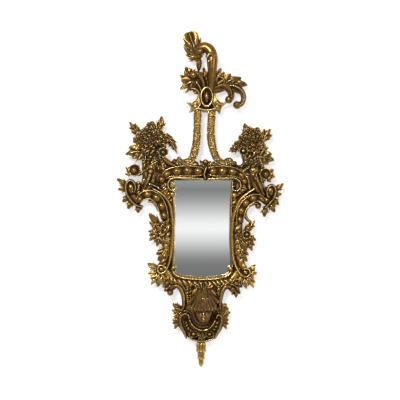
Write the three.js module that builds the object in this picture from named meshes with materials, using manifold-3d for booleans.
// A carved and gilded rococo wall mirror, built as a carver and frame maker would build it: a carcase of
// plain boards holds a glass, and separate carved pieces are seated on the front of the boards.
// Millimetres. X runs to the right, Z up, and the carved front faces -Y. The back rests on a wall at Y = 0,
// and the origin lies there, behind the middle of the glass.
import * as THREE from "three";
import Module from "manifold-3d";

const wasm = await Module();
wasm.setup();

// ---- Driving dimensions ----

const sightHeight = 290; // the glass in view, from the top rail to the bottom rail
const sightShoulder = 186; // its width at the top corners
const sightWaist = 165; // its width half way down, where the stiles bow inwards
const sightFoot = 172; // its width at the bottom corners
const glassThickness = 4;
const glassLap = 7; // how far the glass runs on under the shoulders and the rails
const boardThickness = 18; // the boards of the carcase
const topRailHeight = 46;
const bottomRailHeight = 33;
const stileWidth = 38; // at the waist
const backboardThickness = 6;
const backboardLap = 13; // how far the backboard runs past the glass
const clearance = 0.3; // round a piece that is let into another

const ribHeight = 18; // how far a plain carved band stands off the boards
const rimHeight = 22; // the long rims beside the glass
const channelHeight = 20; // the hollowed scrolls
const leafHeight = 14; // the midrib of a leaf

const pinRadius = 1; // the backboard's nails
const pinHeadRadius = 2.4;
const pinHeadDepth = 1.4;
const pinLength = 16;
const pinRise = 120; // how far each nail lies above or below the middle

const plateWidth = 46; // the hanger's plate, on the back of the top rail
const plateHeight = 15;
const plateThickness = 1.5;
const knuckleRadius = 2.7;
const knuckleBore = 1.75;
const knuckleLength = 11;
const ringWire = 1.25; // radius of the ring's wire
const ringHalfWidth = 9;
const ringDrop = 18;
const screwSpacing = 34;
const screwRadius = 1.4;
const screwHeadRadius = 3;
const screwHeadHeight = 1.5;
const screwLength = 12;

// ---- Planes and anchors that follow from them ----

const boardBack = -backboardThickness;
const boardFront = boardBack - boardThickness;
const sightTop = sightHeight / 2;
const railHalf = sightWaist / 2 + stileWidth;
const railTop = sightTop + topRailHeight;
const railBottom = -sightTop - bottomRailHeight;
const glassHalfWidth = sightShoulder / 2 + glassLap;
const glassHalfHeight = sightTop + glassLap;
const backboardHalfWidth = glassHalfWidth + backboardLap;
const backboardHalfHeight = glassHalfHeight + backboardLap;
const pinAcross = glassHalfWidth + backboardLap / 2;
// Y and Z of the axis that the ring turns on. The ring hangs just above the backboard.
const ringRoom = 0.75;
const ringPivot = [boardBack + 3.1, backboardHalfHeight + ringRoom + ringWire + ringDrop];

// Each cluster of carving is set out from the corner or edge of the frame that it sits on.
const anchor = (name, x, z) => {
  const group = new THREE.Group();
  group.name = name;
  group.position.set(x, 0, z);
  return { x, z, group };
};
const crest = anchor("crest", 0, railTop);
const leftShoulder = anchor("left_shoulder", -sightShoulder / 2, sightTop);
const rightShoulder = anchor("right_shoulder", sightShoulder / 2, sightTop);
const leftWaist = anchor("left_waist", -sightWaist / 2, 0);
const rightWaist = anchor("right_waist", sightWaist / 2, 0);
const leftFoot = anchor("left_foot", -sightFoot / 2, -sightTop);
const rightFoot = anchor("right_foot", sightFoot / 2, -sightTop);
const foot = anchor("foot", 0, -sightTop);
const carcase = anchor("carcase", 0, 0);
const anchors = [
  carcase, crest, leftShoulder, rightShoulder, leftWaist, rightWaist, leftFoot, rightFoot, foot,
];

// Points given as x, z, x, z ... from an anchor.
function along(from, ...numbers) {
  const points = [];
  for (let i = 0; i < numbers.length; i += 2) {
    points.push([from.x + numbers[i], from.z + numbers[i + 1]]);
  }
  return points;
}

// ---- Finishes ----

const gilding = new THREE.MeshStandardMaterial({ color: 0xb38b3c, metalness: 0.9, roughness: 0.36 });
const darkBoard = new THREE.MeshStandardMaterial({ color: 0x2a1c10, metalness: 0, roughness: 0.85 });
const agedPine = new THREE.MeshStandardMaterial({ color: 0x7a5a38, metalness: 0, roughness: 0.8 });
const silvering = new THREE.MeshStandardMaterial({ color: 0xd9dcdf, metalness: 1, roughness: 0.04 });
const iron = new THREE.MeshStandardMaterial({ color: 0x4a4640, metalness: 0.8, roughness: 0.5 });

// ---- Solids ----

// A solid from a list of vertices and the triangles between them, whichever way round they run.
function solidFrom(vertices, triangles) {
  const build = (order) => {
    const mesh = new wasm.Mesh({
      numProp: 3,
      vertProperties: new Float32Array(vertices),
      triVerts: new Uint32Array(order),
      tolerance: 0.005,
    });
    return new wasm.Manifold(mesh);
  };
  const solid = build(triangles);
  if (solid.volume() > 0) return solid;
  const turned = [];
  for (let i = 0; i < triangles.length; i += 3) {
    turned.push(triangles[i], triangles[i + 2], triangles[i + 1]);
  }
  return build(turned);
}

// A solid skinned over rings of points. outline is the rings' shape in the plane, for the two ends.
function loft(rings, outline) {
  const sides = outline.length;
  const triangles = [];
  for (let ring = 0; ring + 1 < rings.length; ring++) {
    for (let side = 0; side < sides; side++) {
      const here = ring * sides + side;
      const next = ring * sides + ((side + 1) % sides);
      triangles.push(here, next, here + sides, next, next + sides, here + sides);
    }
  }
  const cap = THREE.ShapeUtils.triangulateShape(outline.map(([u, v]) => new THREE.Vector2(u, v)), []);
  const turn = THREE.ShapeUtils.area(outline.map(([x, y]) => ({ x, y }))) > 0 ? 1 : -1;
  const last = (rings.length - 1) * sides;
  for (const [a, b, c] of cap) {
    const [p, q] = turn > 0 ? [c, b] : [b, c];
    triangles.push(a, p, q, last + a, last + q, last + p);
  }
  return solidFrom(rings.flat(2), triangles);
}

// A three.js geometry as a solid for joining and cutting.
function solidOf(geometry) {
  const plain = geometry.index ? geometry.toNonIndexed() : geometry;
  const places = plain.getAttribute("position");
  const seen = new Map();
  const vertices = [];
  const triangles = [];
  for (let i = 0; i < places.count; i++) {
    const place = [places.getX(i), places.getY(i), places.getZ(i)];
    const key = place.map((v) => Math.round(v * 1e4)).join();
    if (!seen.has(key)) {
      seen.set(key, seen.size);
      vertices.push(...place);
    }
    triangles.push(seen.get(key));
  }
  const whole = [];
  for (let i = 0; i < triangles.length; i += 3) {
    const [a, b, c] = triangles.slice(i, i + 3);
    if (a !== b && b !== c && c !== a) whole.push(a, b, c);
  }
  return solidFrom(vertices, whole);
}

// A flat board between two planes, from its outline in X and Z.
function board(outline, front, back) {
  const corners = (points) => new THREE.Shape(points.map((point) => new THREE.Vector2(...point)));
  const shape = outline instanceof THREE.Shape ? outline : corners(outline);
  const geometry = new THREE.ExtrudeGeometry(shape, {
    depth: back - front,
    bevelEnabled: false,
    curveSegments: 10,
  });
  geometry.rotateX(Math.PI / 2);
  geometry.translate(0, back, 0);
  return solidOf(geometry);
}

function block(left, right, front, back, bottom, top) {
  return board([[left, bottom], [right, bottom], [right, top], [left, top]], front, back);
}

// A round bar along Y, from its front end to its back end.
function bar(x, z, radius, front, back, sides = 8) {
  const geometry = new THREE.CylinderGeometry(radius, radius, back - front, sides);
  geometry.translate(x, (front + back) / 2, z);
  return solidOf(geometry);
}

// ---- Carving ----

// Sections of a band: across from -0.5 to 0.5, and up from 0 at the boards to 1.
const rib = [[-0.5, 0], [-0.42, 0.7], [0, 1], [0.42, 0.7], [0.5, 0]];
const strap = [[-0.5, 0], [-0.4, 1], [0.4, 1], [0.5, 0]];
const channel = [[-0.5, 0], [-0.42, 1], [0, 0.5], [0.42, 1], [0.5, 0]];
const circle = (sides) =>
  Array.from({ length: sides }, (_, i) => {
    const turn = (2 * Math.PI * (i + 0.5)) / sides;
    return [Math.cos(turn), Math.sin(turn)];
  });
const round = circle(8).map(([u, v]) => [u / 2, (v + 1) / 2]);

// A value that runs through a list from 0 to 1, or a plain number.
function at(values, share) {
  if (!Array.isArray(values)) return values;
  const place = share * (values.length - 1);
  const low = Math.min(Math.floor(place), values.length - 2);
  return THREE.MathUtils.lerp(values[low], values[low + 1], place - low);
}

const curveThrough = (path) =>
  new THREE.CatmullRomCurve3(path.map(([x, z]) => new THREE.Vector3(x, 0, z)), false, "centripetal");

// Every carved shape is a function of extra, by which it is drawn fatter to cut its own seat in a neighbour.
// How far that moves a point along Y: the back of the shape one way, its front the other way.
const swell = (up, extra) => (up < 0.1 ? extra : up < 0.5 ? 0 : -extra);

// A moulded band that runs through the points of a path.
const band = (path, width, height, { section = rib, rise = 0, steps = Math.ceil(1.4 * path.length) } = {}) =>
  (extra) => {
    const curve = curveThrough(path);
    const rings = [];
    for (let step = 0; step <= steps; step++) {
      const share = step / steps;
      const ahead = curve.getTangentAt(share);
      const end = step === 0 ? -extra : step === steps ? extra : 0;
      const middle = curve.getPointAt(share).addScaledVector(ahead, end);
      const wide = at(width, share) + 2 * extra;
      const floor = boardFront - at(rise, share);
      rings.push(
        section.map(([across, up]) => [
          middle.x - across * wide * ahead.z,
          floor - up * at(height, share) + swell(up, extra),
          middle.z + across * wide * ahead.x,
        ]),
      );
    }
    return loft(rings, section);
  };

// An acanthus leaf from root to tip, with pointed lobes along both edges and a raised midrib.
const leafSection = [[-1, 0], [0, 1], [1, 0]];
const leaf = (path, width, { height = leafHeight, lobes = 3, rise = 0 } = {}) =>
  (extra) => {
    const curve = curveThrough(path);
    const rings = [];
    const ring = (share, spread, forward) => {
      const ahead = curve.getTangentAt(share);
      const end = share === 0 ? -extra : share === 1 ? extra : 0;
      const spine = curve.getPointAt(share).addScaledVector(ahead, end);
      const edge = curve.getPointAt(Math.min(1, share + forward)).addScaledVector(ahead, end);
      const half = Math.max(1, (width / 2) * Math.sin(Math.PI * (0.17 + 0.72 * share)) * spread) + extra;
      const high = height * (0.55 + 0.45 * Math.sin(Math.PI * share));
      rings.push(
        leafSection.map(([side, up]) => {
          const from = up > 0 ? spine : edge;
          return [
            from.x - side * half * ahead.z,
            boardFront - rise - up * high + swell(up, extra),
            from.z + side * half * ahead.x,
          ];
        }),
      );
    };
    for (let lobe = 0; lobe < lobes; lobe++) {
      ring(lobe / lobes, 0.62, 0);
      ring((lobe + 0.68) / lobes, 1, 0.28 / lobes);
    }
    ring(1, 0.12, 0);
    return loft(rings, leafSection);
  };

// A shape turned about Y, such as a boss, berry, cup or flower: [radius, height] pairs from the boards up.
// petals gives it that many lobes.
const turned = (path, radius, height, profile, { sides = 6, petals = 0, rise = 0, tall = 1 } = {}) =>
  (extra) => {
    const [[x, z]] = path;
    const spokes = petals ? circle(2 * petals) : circle(sides);
    const lobed = ([u, v], i) => (petals && i % 2 ? [0.74 * u, 0.74 * v] : [u, v]);
    const falls = (i) => i > 0 && i < profile.length && profile[i][1] < profile[i - 1][1];
    const rings = profile.map(([out, up], i) => {
      const reach = out * radius + extra * (falls(i) ? -1 : falls(i + 1) ? 0 : 1);
      return spokes.map(lobed).map(([u, v]) => [
        x + u * reach,
        boardFront - rise - up * height + swell(up, extra),
        z + v * tall * reach,
      ]);
    });
    return loft(rings, spokes.map(lobed));
  };
const domeProfile = [[1, 0], [0.95, 0.55], [0.5, 1]];
const roseProfile = [[0.85, 0], [1, 0.6], [0.5, 1], [0.2, 0.8]];
const cupProfile = [[0.6, 0], [0.95, 0.5], [0.85, 1], [0.5, 0.65]];
const dome = (path, radius, height, options) => turned(path, radius, height, domeProfile, options);
const rose = (path, radius, height, options) =>
  turned(path, radius, height, roseProfile, { petals: 3, ...options });
const cup = (path, radius, height, options) => turned(path, radius, height, cupProfile, options);

// ---- The assembly ----

const assembly = new THREE.Group();
assembly.name = "girandole_mirror";
for (const { group } of anchors) assembly.add(group);

const biggest = (solid) => solid.decompose().sort((a, b) => b.volume() - a.volume())[0];

// Adds a finished solid as a named mesh, placed from its anchor.
function add(name, solid, material, from = carcase) {
  const { vertProperties, triVerts } = solid.getMesh();
  const geometry = new THREE.BufferGeometry();
  geometry.setAttribute("position", new THREE.BufferAttribute(vertProperties, 3));
  geometry.setIndex(new THREE.BufferAttribute(triVerts, 1));
  geometry.translate(-from.x, 0, -from.z);
  const mesh = new THREE.Mesh(geometry.toNonIndexed(), material);
  mesh.geometry.computeVertexNormals();
  mesh.name = name;
  from.group.add(mesh);
}

const draw = (shapes, extra) => shapes.map((shape) => shape(extra)).reduce((a, b) => a.add(b));

function meet(a, b) {
  const one = a.boundingBox();
  const two = b.boundingBox();
  return [0, 1, 2].every((i) => one.min[i] < two.max[i] && two.min[i] < one.max[i]);
}

// Carves one piece. It is let into the pieces carved before it, with the clearance all round.
const seats = [];
function carve(name, from, ...shapes) {
  let solid = draw(shapes, 0);
  for (const seat of seats) {
    if (meet(solid, seat)) solid = solid.subtract(seat);
  }
  seats.push(draw(shapes, clearance).add(solid));
  add(name, biggest(solid).simplify(clearance / 6), gilding, from);
}

// ---- Carcase ----

const rebate = block(
  -glassHalfWidth - clearance, glassHalfWidth + clearance,
  boardBack - glassThickness - clearance, boardBack + 1,
  -glassHalfHeight - clearance, glassHalfHeight + clearance,
);
const pinPlaces = [
  [-pinAcross, pinRise],
  [pinAcross, pinRise],
  [-pinAcross, -pinRise],
  [pinAcross, -pinRise],
];
const pin = ([x, z], extra) =>
  bar(x, z, pinRadius + extra, -pinLength - extra, -0.1 - pinHeadDepth / 2)
    .add(bar(x, z, pinHeadRadius + extra, -pinHeadDepth - extra, -0.1 + 2 * extra));
const pinHoles = pinPlaces.map((place) => pin(place, clearance)).reduce((a, b) => a.add(b));

const screwPlaces = [[-screwSpacing / 2, ringPivot[1] - 5], [screwSpacing / 2, ringPivot[1] - 5]];
const plateBack = boardBack + plateThickness;
const screw = ([x, z], extra) =>
  bar(x, z, screwRadius + extra, boardBack - screwLength - extra, plateBack + 0.5)
    .add(bar(x, z, screwHeadRadius, plateBack + clearance, plateBack + clearance + screwHeadHeight));
const screwHoles = screwPlaces
  .map(([x, z]) => bar(x, z, screwRadius + clearance, boardBack - screwLength - clearance, plateBack + 1))
  .reduce((a, b) => a.add(b));

// A stile between the rails. Its inner edge bows in to the waist of the sight.
function stile(side) {
  const shape = new THREE.Shape();
  shape.moveTo(side * railHalf, -sightTop);
  shape.lineTo(side * railHalf, sightTop);
  shape.lineTo((side * sightShoulder) / 2, sightTop);
  const bow = sightWaist - (sightShoulder + sightFoot) / 4;
  shape.quadraticCurveTo(side * bow, 0, (side * sightFoot) / 2, -sightTop);
  return board(shape, boardFront, boardBack).subtract(rebate).subtract(pinHoles);
}

add("left_stile", stile(-1), darkBoard);
add("right_stile", stile(1), darkBoard);
add(
  "top_rail",
  block(-railHalf, railHalf, boardFront, boardBack, sightTop, railTop).subtract(rebate).subtract(screwHoles),
  darkBoard,
);
add(
  "bottom_rail",
  block(-railHalf, railHalf, boardFront, boardBack, railBottom, -sightTop).subtract(rebate),
  darkBoard,
);
add(
  "left_wing_board",
  board(
    [
      [-railHalf, sightTop - 62], [-railHalf, railTop + 18],
      ...along(leftShoulder, -15, 96, -22, 130, -38, 160, -68, 160, -94, 138, -92, 102, -90, 66, -87,
        30, -90, -13, -112, -12, -126, -24, -122, -50, -100, -61, -80, -43, -62, -37, -44, -48),
    ],
    boardFront, boardBack,
  ),
  darkBoard,
);
add(
  "right_wing_board",
  board(
    [
      [railHalf, railTop + 18], [railHalf, sightTop - 70],
      ...along(rightShoulder, 40, -62, 58, -50, 80, -50, 98, -70, 116, -56, 118, -32, 104, -20, 86,
        -18, 84, 24, 81, 60, 86, 90, 86, 120, 70, 150, 40, 150, 28, 120, 20, 90),
    ],
    boardFront, boardBack,
  ),
  darkBoard,
);
add(
  "apron_board",
  board(
    [
      [48, railBottom], [-48, railBottom],
      ...along(foot, -46, -70, -56, -106, -68, -124, -62, -154, -45, -182, -18, -192, 16, -192, 36,
        -180, 50, -154, 58, -124, 50, -106, 52, -70),
    ],
    boardFront, boardBack,
  ),
  darkBoard,
);

// The glass lies in the rebate, and the backboard closes it in.
add(
  "mirror_glass",
  block(
    -glassHalfWidth, glassHalfWidth,
    boardBack - glassThickness, boardBack,
    -glassHalfHeight, glassHalfHeight,
  ),
  silvering,
);
add(
  "backboard",
  block(
    -backboardHalfWidth, backboardHalfWidth, boardBack, 0, -backboardHalfHeight, backboardHalfHeight,
  ).subtract(pinHoles),
  agedPine,
);
pinPlaces.forEach((place, i) => add(`backboard_nail_${i + 1}`, pin(place, 0), iron));

// ---- Hanger ----

const [pivotY, pivotZ] = ringPivot;
function barAlongX(length, radius, sides) {
  const geometry = new THREE.CylinderGeometry(radius, radius, length, sides);
  geometry.rotateZ(Math.PI / 2);
  geometry.translate(0, pivotY, pivotZ);
  return solidOf(geometry);
}
const plate = block(
  -plateWidth / 2, plateWidth / 2, boardBack, plateBack, pivotZ - plateHeight + 3, pivotZ + 3,
);
add(
  "hanger_plate",
  plate
    .add(barAlongX(knuckleLength, knuckleRadius, 12))
    .subtract(barAlongX(knuckleLength + 2, knuckleBore, 12))
    .subtract(screwHoles),
  iron,
);
screwPlaces.forEach((place, i) => add(`hanger_screw_${i + 1}`, screw(place, 0), iron));

// The ring is a bow of wire closed by the straight bar that turns in the knuckle.
const bowPath = [
  [-ringHalfWidth, 0], [-ringHalfWidth, -0.35 * ringDrop], [-0.7 * ringHalfWidth, -0.82 * ringDrop],
  [0, -ringDrop], [0.7 * ringHalfWidth, -0.82 * ringDrop], [ringHalfWidth, -0.35 * ringDrop],
  [ringHalfWidth, 0],
].map(([x, z]) => [x, pivotZ + z]);
const bow = band(bowPath, 2 * ringWire, 2 * ringWire, {
  section: round,
  rise: boardFront - pivotY - ringWire,
  steps: 18,
});
add(
  "hanging_ring",
  bow(0).add(barAlongX(2 * (ringHalfWidth + ringWire), ringWire * 1.02, 8)),
  iron,
);

// ---- Crest ----

carve(
  "crest_cabochon", crest,
  dome(along(crest, 13, 204), 9, 15, { tall: 2.1, rise: 12, sides: 8 }),
);
carve(
  "crest_cartouche", crest,
  turned(along(crest, 13, 204), 16, 12, [[1, 0], [0.9, 1]], { tall: 1.7, sides: 8 }),
  band(along(crest, 13, 175, -1, 184, -4, 204, 0, 226, 13, 235, 26, 226, 29, 204, 26, 184, 13, 175),
    8, 22, { steps: 12 }),
  band(along(crest, -49, 182, -34, 170, -18, 176, -7, 193, -5, 216), [6, 15, 18, 15, 10], [10, 17, 19,
    20, 18], { steps: 7 }),
  band(along(crest, 69, 182, 52, 166, 37, 175, 31, 193, 29, 216), [6, 16, 19, 15, 10], [10, 17, 19,
    20, 18], { steps: 7 }),
  band(along(crest, -14, 172, 12, 168, 40, 171), 13, 16),
);
carve(
  "left_crest_stem", crest,
  band(
    along(crest, -74, 24, -65, 10, -49, 8, -33, 19, -23, 42, -18, 74, -16, 120, -14, 170),
    [13, 17, 20, 21, 21, 22, 22, 23], [20, 18, 16], { section: strap },
  ),
);
carve(
  "right_crest_stem", crest,
  band(
    along(crest, 92, 0, 80, 14, 63, 6, 45, 16, 34, 38, 27, 72, 25, 114, 30, 170),
    [15, 18, 18, 20, 22, 23, 23, 23], [20, 18, 16], { section: strap },
  ),
);
carve(
  "crest_crook", crest,
  band(
    along(crest, 28, 230, 30, 266, 29, 306, 27, 331, 18, 346, 6, 352, -6, 347, -11, 332, -10, 316),
    [8, 14, 25, 26, 25, 23, 22, 20, 15], [9, 16, 25, 26, 25, 24, 24, 20, 15],
    { section: round, rise: [6, 8, 10, 12, 12, 12, 11, 10, 8], steps: 12 },
  ),
);
carve(
  "crest_palmette", crest,
  leaf(along(crest, 16, 222, 10, 254, 4, 295), 18, { lobes: 3 }),
  band(along(crest, 6, 224, 2, 252, -10, 268, -26, 277, -36, 269, -28, 260), [9, 12, 14, 14, 11, 9],
    [16, 20, 24, 26, 24, 22]),
  leaf(along(crest, 2, 230, -28, 253, -64, 230), 20, { lobes: 4 }),
  leaf(along(crest, -16, 248, -40, 264, -53, 294), 19, { lobes: 3 }),
  leaf(along(crest, 2, 218, -18, 232, -38, 226), 11, { lobes: 2 }),
);
carve(
  "crest_right_spray", crest,
  band(along(crest, 27, 222, 40, 234, 62, 239, 80, 229, 88, 211, 82, 194, 73, 194), [8, 15, 21, 20,
    17, 14, 9], [14, 20, 24, 24, 22, 20, 18], { steps: 9 }),
  band(along(crest, 64, 234, 92, 236, 113, 224, 123, 205, 119, 184, 104, 175, 96, 184), [10, 14, 16,
    15, 12, 11, 11], [16, 20, 22, 22, 21, 20, 20], { steps: 9 }),
  band(along(crest, 32, 230, 36, 248, 48, 262, 62, 256, 62, 242, 51, 240), [6, 8, 9, 8, 6, 6], [14,
    20, 24, 24, 20, 18], { steps: 8 }),
  leaf(along(crest, 38, 240, 45, 264, 53, 290), 17, { lobes: 3 }),
  leaf(along(crest, 52, 252, 60, 264, 64, 278), 9, { lobes: 1 }),
  leaf(along(crest, 62, 242, 82, 254, 107, 260), 16, { lobes: 3 }),
  leaf(along(crest, 76, 234, 106, 242, 133, 238), 19, { lobes: 4 }),
);
carve(
  "crest_finial_leaf", crest,
  leaf(along(crest, -10, 320, -28, 354, -42, 394), 31, { lobes: 4, height: 18, rise: 6 }),
  leaf(along(crest, -20, 336, -15, 362, -16, 389), 12, { lobes: 2, rise: 6 }),
  leaf(along(crest, -10, 316, -26, 319, -43, 329), 12, { lobes: 2, rise: 6 }),
);
carve(
  "crest_bud", crest,
  band(along(crest, -10, 320, -10, 308, -11, 295, -11, 282), [10, 17, 14, 5], [12, 17, 14, 8],
    { section: round, rise: 8, steps: 6 }),
);

// ---- Top rail ----

carve(
  "top_clasp", crest,
  leaf(along(crest, 10, -16, 0, 2, -9, 14), 14, { lobes: 2, height: 20 }),
  leaf(along(crest, 10, -16, 18, 2, 27, 12), 14, { lobes: 2, height: 20 }),
  dome(along(crest, 9, 8), 9, 22),
  band(along(crest, 10, -42, 5, -30, 8, -17, 14, -4), [10, 12, 12, 9], 25),
);
carve(
  "left_top_scroll", leftShoulder,
  band(along(leftShoulder, 98, 26, 74, 27, 40, 28, 14, 26, -10, 20, -25, 5), [26, 34, 36, 34, 28, 20],
    channelHeight, { section: channel, steps: 10 }),
  dome(along(leftShoulder, -8, 21), 9, 22),
  dome(along(leftShoulder, 28, 27), 13, 22),
  dome(along(leftShoulder, 70, 26), 13, 23),
  dome(along(leftShoulder, -29, 1), 12, 22),
);
carve(
  "right_top_scroll", rightShoulder,
  band(along(rightShoulder, -78, 26, -52, 27, -22, 27, 4, 24, 24, 14, 32, -1), [26, 34, 35, 32, 26,
    18], channelHeight, { section: channel, steps: 10 }),
  dome(along(rightShoulder, -48, 24), 12, 22),
  dome(along(rightShoulder, -14, 26), 14, 22),
  dome(along(rightShoulder, 20, 18), 9, 22),
  dome(along(rightShoulder, 33, -4), 11, 21),
);
carve(
  "left_corner_curl", leftShoulder,
  band(along(leftShoulder, 98, 4, 74, 5, 40, 7, 14, 8, -3, 3, -10, -11, -6, -26, 5, -30, 11, -21, 4,
    -16), [8, 9, 9, 9, 10, 10, 10, 9, 8, 6], [20, 22, 22, 22, 24, 24, 22], { steps: 14 }),
  dome(along(leftShoulder, 2, -42), 10, 18),
);
carve(
  "right_corner_curl", rightShoulder,
  band(along(rightShoulder, -80, 4, -52, 5, -20, 7, 4, 5, 18, -4, 21, -19, 12, -31, -1, -30, -2, -20,
    4, -18), [8, 9, 9, 9, 10, 10, 10, 9, 8, 6], [20, 22, 22, 22, 24, 24, 22], { steps: 14 }),
  dome(along(rightShoulder, 3, -45), 10, 18),
);

// ---- Left wing: a horn of flowers on the corner scroll ----

carve(
  "left_cornucopia", leftShoulder,
  band(along(leftShoulder, -51, 102, -58, 80, -68, 60, -72, 42), [30, 27, 24, 21], [24, 28, 28, 22],
    { section: strap }),
  band(along(leftShoulder, -45, 89, -33, 65, -22, 49, -13, 34), [14, 13, 13, 13], 15,
    { section: strap }),
  band(along(leftShoulder, -62, 74, -51, 52, -33, 29), 12, 14, { section: strap }),
  band(along(leftShoulder, -99, 101, -82, 88, -78, 68, -83, 50), 6, 20),
  cup(along(leftShoulder, -24, 83), 16, 26, { sides: 8 }),
  leaf(along(leftShoulder, -68, 82, -104, 86, -140, 77), 44, { lobes: 4, height: 18 }),
);
carve(
  "left_bouquet", leftShoulder,
  band(along(leftShoulder, -104, 124, -82, 132, -58, 142, -34, 138, -20, 122), 24, 16,
    { section: strap }),
  rose(along(leftShoulder, -66, 146), 17, 40),
  rose(along(leftShoulder, -90, 133), 14, 34),
  rose(along(leftShoulder, -46, 130), 15, 38),
  rose(along(leftShoulder, -23, 122), 16, 34, { petals: 4 }),
  rose(along(leftShoulder, -87, 106), 15, 34, { petals: 4 }),
  dome(along(leftShoulder, -65, 116), 14, 40),
  rose(along(leftShoulder, -105, 120), 11, 28),
  rose(along(leftShoulder, -61, 162), 14, 32),
  dome(along(leftShoulder, -40, 152), 11, 32),
  leaf(along(leftShoulder, -96, 132, -112, 156, -128, 177), 21, { lobes: 3, height: 16 }),
  leaf(along(leftShoulder, -39, 144, -32, 172, -30, 195), 20, { lobes: 2, height: 18 }),
  leaf(along(leftShoulder, -20, 142, 2, 112, 18, 77), 18, { lobes: 4, height: 16 }),
);
carve(
  "left_side_rose", leftShoulder,
  cup(along(leftShoulder, -110, 30), 20, 24, { sides: 8 }),
  dome(along(leftShoulder, -111, 29), 12, 30),
  leaf(along(leftShoulder, -118, 28, -131, 34, -139, 40), 12, { lobes: 2 }),
  leaf(along(leftShoulder, -117, 22, -132, 18, -141, 19), 12, { lobes: 2 }),
  band(along(leftShoulder, -104, 14, -92, 20, -84, 29), [8, 10, 6], 18),
);
carve(
  "left_corner_scroll", leftShoulder,
  band(along(leftShoulder, -100, -73, -96, -58, -81, -45, -60, -44, -41, -57, -30, -78, -23, -100,
    -20, -122), [14, 25, 29, 31, 31, 30, 28, 24], channelHeight, { section: channel, steps: 10 }),
  dome(along(leftShoulder, -92, -56), 9, 22),
  dome(along(leftShoulder, -68, -44), 10, 22),
  dome(along(leftShoulder, -40, -61), 10, 22),
  dome(along(leftShoulder, -24, -94), 10, 22),
);
carve(
  "left_volute", leftShoulder,
  band(along(leftShoulder, -84, -81, -104, -75, -122, -60, -134, -38, -136, -17, -128, -2, -116, -4,
    -108, -18, -111, -36, -119, -34), [8, 8, 8, 8, 8, 9, 9, 9, 8, 6], [18, 22, 24, 26, 26, 26, 26],
      { steps: 14 }),
  turned(along(leftShoulder, -122, -26), 12, 14, [[1, 0], [0.8, 1]], { tall: 1.3 }),
  leaf(along(leftShoulder, -126, -20, -146, -8, -166, 6), 17, { lobes: 2 }),
  leaf(along(leftShoulder, -129, -26, -146, -26, -163, -28), 16, { lobes: 2 }),
  leaf(along(leftShoulder, -129, -44, -138, -56, -148, -67), 17, { lobes: 2 }),
  leaf(along(leftShoulder, -118, -60, -126, -74, -132, -88), 17, { lobes: 2 }),
  leaf(along(leftShoulder, -102, -76, -100, -88, -102, -100), 17, { lobes: 2 }),
);
carve(
  "left_trunk", leftShoulder,
  band(along(leftShoulder, -62, 29, -68, 6, -77, -13, -82, -26), [22, 28, 27, 20], [20, 24, 24, 18]),
  dome(along(leftShoulder, -62, 26), 11, 26),
  band(along(leftShoulder, -72, -8, -45, -19, -31, -31), [9, 11, 7], 20),
);

// ---- Right wing ----

carve(
  "right_cornucopia", rightShoulder,
  band(along(rightShoulder, 60, 96, 62, 76, 64, 58, 67, 40), [30, 24, 20, 18], [24, 28, 26, 22],
    { section: strap }),
  band(along(rightShoulder, 58, 86, 42, 62, 29, 46, 17, 34), [14, 13, 13, 13], 15, { section: strap }),
  band(along(rightShoulder, 63, 64, 50, 46, 38, 29), 12, 14, { section: strap }),
  band(along(rightShoulder, 34, 86, 58, 88), 10, 16, { steps: 2 }),
  dome(along(rightShoulder, 58, 42), 9, 24),
  cup(along(rightShoulder, 30, 88), 15, 30, { sides: 8 }),
  leaf(along(rightShoulder, 64, 71, 94, 68, 124, 59), 42, { lobes: 4, height: 18 }),
);
carve(
  "right_bouquet", rightShoulder,
  band(along(rightShoulder, 16, 106, 34, 120, 56, 131, 74, 126, 86, 106), 24, 16, { section: strap }),
  rose(along(rightShoulder, 47, 143), 15, 38),
  rose(along(rightShoulder, 68, 143), 14, 34),
  rose(along(rightShoulder, 30, 123), 15, 36),
  rose(along(rightShoulder, 53, 120), 15, 42, { petals: 4 }),
  rose(along(rightShoulder, 77, 122), 15, 36),
  rose(along(rightShoulder, 14, 106), 13, 30, { petals: 4 }),
  dome(along(rightShoulder, 40, 102), 12, 38),
  rose(along(rightShoulder, 68, 98), 15, 34),
  dome(along(rightShoulder, 86, 102), 11, 28),
  leaf(along(rightShoulder, 22, 102, 2, 94, -18, 86), 19, { lobes: 4, height: 16 }),
  leaf(along(rightShoulder, 46, 138, 38, 156, 32, 172), 20, { lobes: 2, height: 18 }),
  leaf(along(rightShoulder, 82, 118, 99, 138, 113, 156), 26, { lobes: 3, height: 18 }),
);
carve(
  "right_side_rose", rightShoulder,
  cup(along(rightShoulder, 95, 18), 19, 24, { sides: 8 }),
  dome(along(rightShoulder, 96, 17), 11, 30),
  leaf(along(rightShoulder, 106, 24, 116, 29, 123, 32), 12, { lobes: 2 }),
  leaf(along(rightShoulder, 108, 14, 117, 12, 126, 11), 12, { lobes: 2 }),
  leaf(along(rightShoulder, 102, 8, 108, 0, 113, -7), 12, { lobes: 2 }),
);
carve(
  "right_corner_scroll", rightShoulder,
  band(along(rightShoulder, 94, -68, 82, -55, 63, -54, 42, -65, 27, -84, 20, -108, 19, -133), [14, 22,
    28, 29, 28, 26, 22], channelHeight, { section: channel, steps: 10 }),
  dome(along(rightShoulder, 64, -55), 10, 22),
  dome(along(rightShoulder, 38, -68), 10, 22),
  dome(along(rightShoulder, 22, -102), 10, 22),
  dome(along(rightShoulder, 79, -54), 8, 20),
);
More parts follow.
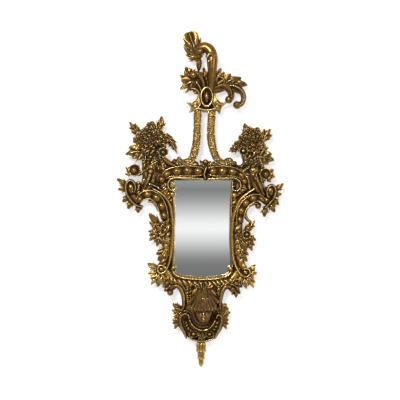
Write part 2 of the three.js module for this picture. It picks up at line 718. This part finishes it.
carve(
  "right_volute", rightShoulder,
  band(along(rightShoulder, 94, -85, 109, -68, 122, -50, 126, -31, 119, -17, 106, -19, 100, -34, 103,
    -50, 111, -49), [8, 8, 8, 8, 9, 9, 9, 8, 6], [18, 22, 24, 26, 26, 26, 26], { steps: 14 }),
  turned(along(rightShoulder, 112, -34), 11, 14, [[1, 0], [0.8, 1]], { tall: 1.3 }),
  leaf(along(rightShoulder, 120, -31, 136, -22, 153, -8), 16, { lobes: 2 }),
  leaf(along(rightShoulder, 120, -43, 134, -43, 146, -40), 15, { lobes: 2 }),
  leaf(along(rightShoulder, 117, -55, 128, -66, 137, -75), 17, { lobes: 2 }),
  leaf(along(rightShoulder, 108, -67, 117, -84, 124, -98), 17, { lobes: 2 }),
  leaf(along(rightShoulder, 95, -76, 94, -96, 92, -112), 17, { lobes: 2 }),
);
carve(
  "right_trunk", rightShoulder,
  band(along(rightShoulder, 68, 24, 72, 0, 82, -25, 93, -48), [20, 25, 25, 18], [20, 24, 24, 18]),
  dome(along(rightShoulder, 66, 5), 9, 24),
);

// ---- Sides: long rims that end in volutes, with roses and leaves along them ----

carve(
  "left_side_rim", leftWaist,
  band(
    [
      ...along(leftShoulder, -58, -24, -40, -33, -20, -49, -6, -73),
      ...along(leftWaist, -10, 40, -7, 2, -7, -40),
      ...along(leftFoot, -8, 70, -14, 40, -25, 18, -38, 10, -48, 20, -45, 32, -35, 35, -29, 26),
    ],
    [7, 9, 10, 10, 10, 10, 10, 10, 10, 10, 9, 9, 8, 8, 6], rimHeight, { steps: 19 },
  ),
  turned(along(leftFoot, -38, 23), 8, 12, [[1, 0], [0.8, 1]]),
  leaf(along(leftFoot, -44, 27, -64, 31, -81, 42), 18, { lobes: 2 }),
  leaf(along(leftFoot, -46, 18, -64, 10, -80, 10), 17, { lobes: 2 }),
  leaf(along(leftFoot, -38, 14, -55, -6, -71, -26), 21, { lobes: 3 }),
  leaf(along(leftFoot, -32, 10, -42, -12, -51, -33), 18, { lobes: 2 }),
);
carve(
  "right_side_rim", rightWaist,
  band(
    [
      ...along(rightShoulder, 66, -24, 42, -40, 20, -59, 8, -87),
      ...along(rightWaist, 10, 28, 6, -2, 6, -39),
      ...along(rightFoot, 4, 68, 10, 42, 19, 20, 32, 5, 45, 1, 55, 8, 55, 20, 44, 25, 36, 20),
    ],
    [7, 9, 10, 10, 10, 10, 10, 10, 10, 10, 9, 9, 8, 8, 7, 6], rimHeight, { steps: 19 },
  ),
  turned(along(rightFoot, 43, 14), 8, 12, [[1, 0], [0.8, 1]]),
  leaf(along(rightFoot, 50, 19, 64, 26, 74, 38), 15, { lobes: 2 }),
  leaf(along(rightFoot, 51, 12, 66, 10, 79, 12), 15, { lobes: 2 }),
  leaf(along(rightFoot, 46, 8, 58, -14, 68, -35), 21, { lobes: 3 }),
  leaf(along(rightFoot, 37, 6, 42, -17, 45, -38), 17, { lobes: 2 }),
);
carve(
  "left_garland", leftWaist,
  rose(along(leftWaist, -44, 0), 23, 34, { petals: 5 }),
  dome(along(leftWaist, -44, 0), 10, 36),
  leaf(along(leftWaist, -45, 4, -64, 28, -79, 48), 21, { lobes: 2 }),
  leaf(along(leftWaist, -48, 3, -66, 12, -80, 20), 15, { lobes: 2 }),
  leaf(along(leftWaist, -45, -6, -66, -8, -82, -9), 15, { lobes: 2 }),
  leaf(along(leftWaist, -45, -6, -64, -24, -80, -39), 21, { lobes: 3 }),
  leaf(along(leftWaist, -44, -16, -50, -36, -55, -56), 20, { lobes: 3 }),
  leaf(along(leftWaist, -36, -16, -35, -38, -36, -57), 17, { lobes: 2 }),
  leaf(along(leftWaist, -30, -20, -21, -44, -14, -65), 17, { lobes: 2 }),
  leaf(along(leftWaist, -25, -56, -38, -78, -53, -98), 28, { lobes: 3, height: 16 }),
);
carve(
  "right_garland", rightWaist,
  cup(along(rightWaist, 50, -18), 14, 28, { sides: 8 }),
  rose(along(rightWaist, 30, -22), 13, 26, { petals: 4 }),
  dome(along(rightWaist, 27, -9), 9, 24),
  leaf(along(rightWaist, 40, -12, 62, 8, 77, 26), 18, { lobes: 3 }),
  leaf(along(rightWaist, 54, -26, 68, -29, 79, -37), 15, { lobes: 2 }),
  leaf(along(rightWaist, 48, -27, 58, -48, 68, -68), 24, { lobes: 3 }),
  leaf(along(rightWaist, 34, -28, 40, -46, 46, -63), 16, { lobes: 2 }),
  leaf(along(rightWaist, 24, -28, 24, -45, 22, -62), 14, { lobes: 2 }),
  leaf(along(rightWaist, 27, -48, 38, -78, 53, -101), 27, { lobes: 3, height: 16 }),
);

// ---- Foot ----

const headChin = along(foot, 3, -137)[0];
// The carved head. Each ring is [height above the chin, half width, depth, nose, eyes], all in mm.
const headRings = [
  [0, 8, 30, 0, 0], [5, 15, 41, 1, 0], [11, 20, 43, -1, 0], [14, 22, 44, 2, 0], [19, 24, 44, 8, 0],
  [27, 26, 44, 4, -3], [33, 27, 47, 1, 1], [42, 29, 52, 0, 0], [62, 33, 57, 0, 0], [82, 31, 52, 0, 0],
  [96, 22, 42, 0, 0], [104, 9, 30, 0, 0],
];
const headArc = [-90, -66, -44, -20, 0, 20, 44, 66, 90].map(THREE.MathUtils.degToRad);
const head = (extra) => {
  const rings = headRings.map(([up, half, depth, nose, eyes]) => {
    const face = headArc.map((angle, i) => {
      const feature = i === 4 ? nose : i === 3 || i === 5 ? eyes : 0;
      return [
        headChin[0] + (half + extra) * Math.sin(angle),
        boardFront - (0.3 + 0.7 * Math.cos(angle)) * (depth + extra) - feature,
        headChin[1] + up + (up > 50 ? extra : -extra),
      ];
    });
    const back = boardFront + extra;
    const z = face[0][2];
    return [...face, [headChin[0] + half + extra, back, z], [headChin[0] - half - extra, back, z]];
  });
  return loft(rings, rings[0].map(([x, y]) => [x, y]));
};
const lock = (path, rise) => band(path, [9, 14, 14, 8], 12, { rise, steps: 5 });
carve(
  "cherub_head", foot,
  head,
  lock(along(foot, 4, -32, -18, -48, -30, -70, -27, -94), [24, 40, 34, 30]),
  lock(along(foot, 5, -32, -9, -53, -16, -74, -12, -96), [24, 46, 47, 41]),
  lock(along(foot, 6, -32, 3, -54, -2, -77, -6, -96), [24, 47, 53, 47]),
  lock(along(foot, 7, -32, 13, -54, 14, -77, 8, -98), [24, 47, 53, 48]),
  lock(along(foot, 8, -32, 24, -53, 28, -74, 21, -96), [24, 45, 46, 41]),
  lock(along(foot, 8, -32, 33, -48, 41, -71, 38, -94), [24, 38, 32, 28]),
);
carve(
  "foot_moulding", foot,
  band(
    along(foot, -88, 25, -87, 12, -72, 1, -42, -6, -2, -10, 40, -7, 69, 1, 84, 13, 86, 22),
    [9, 10, 10], [16, 18, 18, 18, 16], { steps: 12 },
  ),
  dome(along(foot, -87, 27), 9, 20),
  dome(along(foot, 84, 24), 9, 20),
);
carve(
  "head_shell", foot,
  leaf(along(foot, 4, -40, -9, -29, -20, -23), 12, { lobes: 1, height: 22 }),
  leaf(along(foot, 4, -40, 3, -26, 3, -16), 14, { lobes: 1, height: 24 }),
  leaf(along(foot, 4, -40, 16, -29, 27, -23), 12, { lobes: 1, height: 22 }),
  band(along(foot, -50, -20, -22, -26, 3, -28, 28, -26, 56, -20), [16, 18, 18, 18, 16], 9,
    { steps: 10 }),
  band(along(foot, -37, -24, -37, -52, -38, -82), [10, 7, 8], 14),
);
carve(
  "left_apron_scroll", foot,
  band(along(foot, -98, -43, -92, -31, -76, -27, -62, -38, -54, -58, -53, -80, -59, -98, -69, -99,
    -70, -89), [13, 13, 12, 12, 12, 12, 11, 9, 7], rimHeight, { steps: 14 }),
  dome(along(foot, -112, -41), 14, 24),
  dome(along(foot, -101, -22), 12, 20),
  dome(along(foot, -96, -52), 8, 18),
  dome(along(foot, -80, -13), 9, 16),
  leaf(along(foot, -64, -94, -78, -89, -91, -80), 17, { lobes: 2 }),
);
carve(
  "right_apron_scroll", foot,
  band(along(foot, 90, -44, 84, -32, 70, -30, 58, -41, 52, -60, 50, -82, 52, -98), [12, 12, 12, 12,
    11, 10, 7], rimHeight, { steps: 12 }),
  dome(along(foot, 102, -40), 15, 24),
  dome(along(foot, 99, -17), 13, 22),
  dome(along(foot, 76, -17), 10, 18),
  leaf(along(foot, 100, -42, 102, -53, 101, -63), 14, { lobes: 1 }),
  leaf(along(foot, 51, -94, 63, -89, 72, -79), 15, { lobes: 2 }),
);
carve(
  "lower_cartouche", foot,
  band(along(foot, -43, -126, -45, -114, -58, -112, -68, -124, -62, -146, -53, -167, -49, -188), [14,
    14, 13, 12, 12, 10, 5], [24, 24, 24, 24, 20, 18, 12], { steps: 11 }),
  band(along(foot, 42, -124, 48, -112, 57, -117, 58, -131, 52, -154, 43, -171, 36, -188), [12, 12, 12,
    12, 11, 9, 5], [24, 24, 24, 24, 20, 18, 12], { steps: 11 }),
  band(along(foot, -42, -126, -32, -144, -16, -156, 2, -160, 19, -155, 32, -143, 41, -128), [11, 12,
    12, 13, 12, 12, 11], [22, 26, 28], { steps: 9 }),
  dome(along(foot, -27, -171), 13, 20),
  dome(along(foot, 21, -171), 13, 20),
  dome(along(foot, -2, -182), 13, 26),
  band(along(foot, -43, -166, -37, -184, -19, -190, -2, -194, 16, -190, 31, -184, 35, -166), 7, 17,
    { steps: 9 }),
  leaf(along(foot, -62, -112, -78, -106, -94, -100), 15, { lobes: 2 }),
  leaf(along(foot, -63, -116, -78, -126, -92, -131), 17, { lobes: 2 }),
  leaf(along(foot, -62, -122, -75, -140, -85, -159), 20, { lobes: 3 }),
  leaf(along(foot, 52, -114, 72, -110, 87, -107), 16, { lobes: 2 }),
  leaf(along(foot, 54, -118, 68, -126, 80, -131), 16, { lobes: 2 }),
  leaf(along(foot, 54, -122, 64, -141, 73, -159), 19, { lobes: 3 }),
);

// The drop below is three husks, each hung inside the mouth of the one above.
const dropTop = along(foot, -4, -197)[0];
const huskTiers = [[14, 13, 30], [11.5, 10.5, 28], [8.5, 2, 26]]; // radius at the top and foot, and length
const huskLap = 4;
const husk = (tier) => (extra) => {
  const spokes = circle(10);
  const start = huskTiers.slice(0, tier).reduce((sum, [, , length]) => sum + length - huskLap, 0);
  const [topRadius, footRadius, length] = huskTiers[tier];
  const tips = (i) => (i % 2 ? 0 : 3);
  const ring = (radius, down, jagged) =>
    spokes.map(([u, v], i) => [
      dropTop[0] + u * (radius + extra),
      boardFront + 4 + v * (radius + extra) * 0.8,
      dropTop[1] - start - down + (jagged ? tips(i) : 0),
    ]);
  return loft([ring(topRadius * 0.8, 0), ring(topRadius, 5), ring(footRadius, length, tier < 2)], spokes);
};
carve("pendant_drop", foot, husk(0), husk(1), husk(2));

export default assembly;
